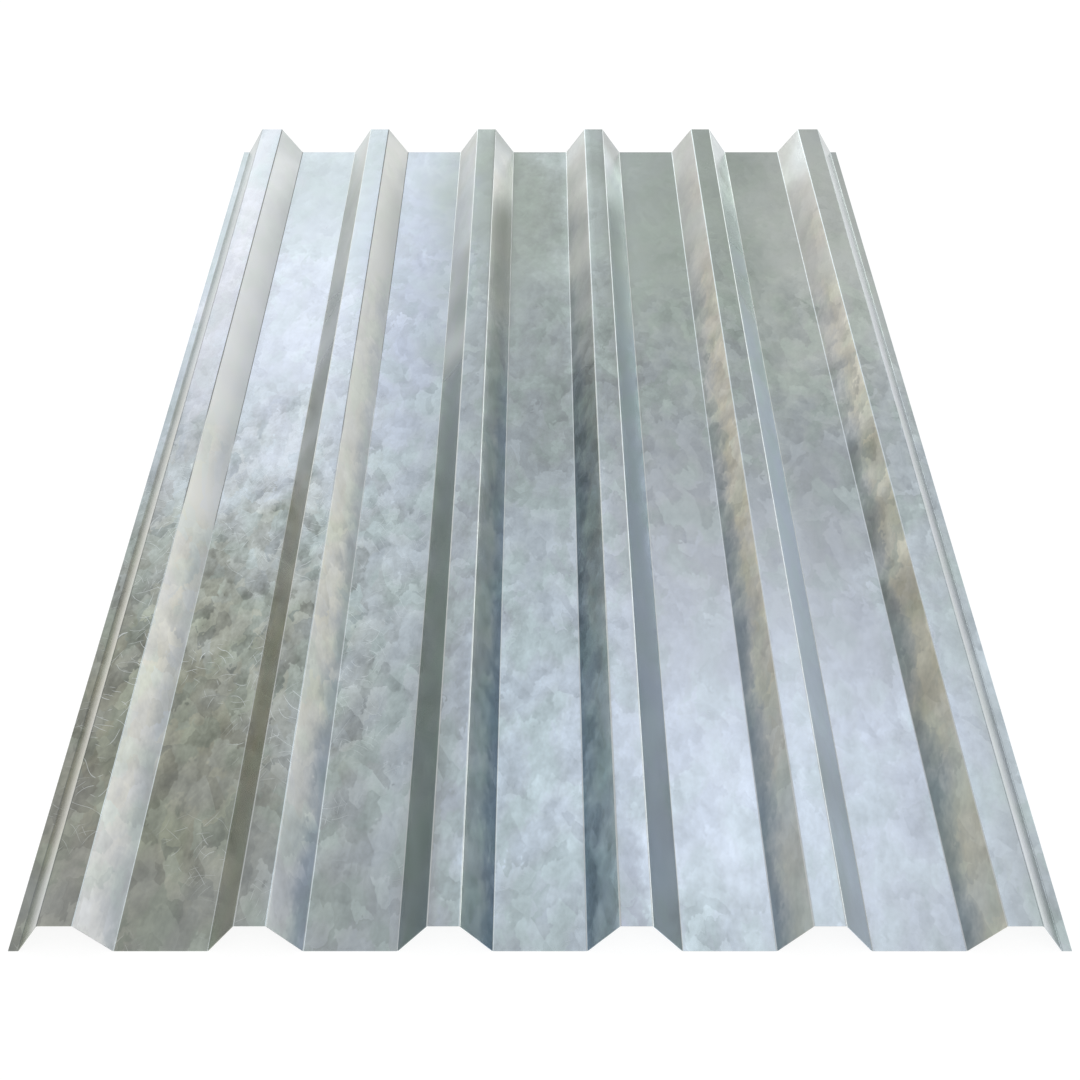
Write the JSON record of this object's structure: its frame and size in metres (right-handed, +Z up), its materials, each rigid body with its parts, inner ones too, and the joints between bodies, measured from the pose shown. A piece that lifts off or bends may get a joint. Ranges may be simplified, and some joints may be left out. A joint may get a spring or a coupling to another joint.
{
  "type": "corrugated metal sheet",
  "caption": "Roll-formed galvanised steel sheet with narrow trapezoidal ribs, wide flat pans between them and a short flat strip along each side edge.",
  "frame": {"origin": "middle of the sheet's footprint, on the underside of the pans, which is the plane it lies on", "axes": "+Y along the ribs, +X across the sheet, +Z up out of the ribs' crowns"},
  "size_m": [0.998, 1.525, 0.0426],
  "materials": {
    "galvanised_steel": "hot-dip galvanised, cloudy grey spangle with fine hairline scratches, partly dulled"
  },
  "bodies": {
    "root": {"ribbed_sheet": "galvanised_steel"}
  },
  "joints": []
}
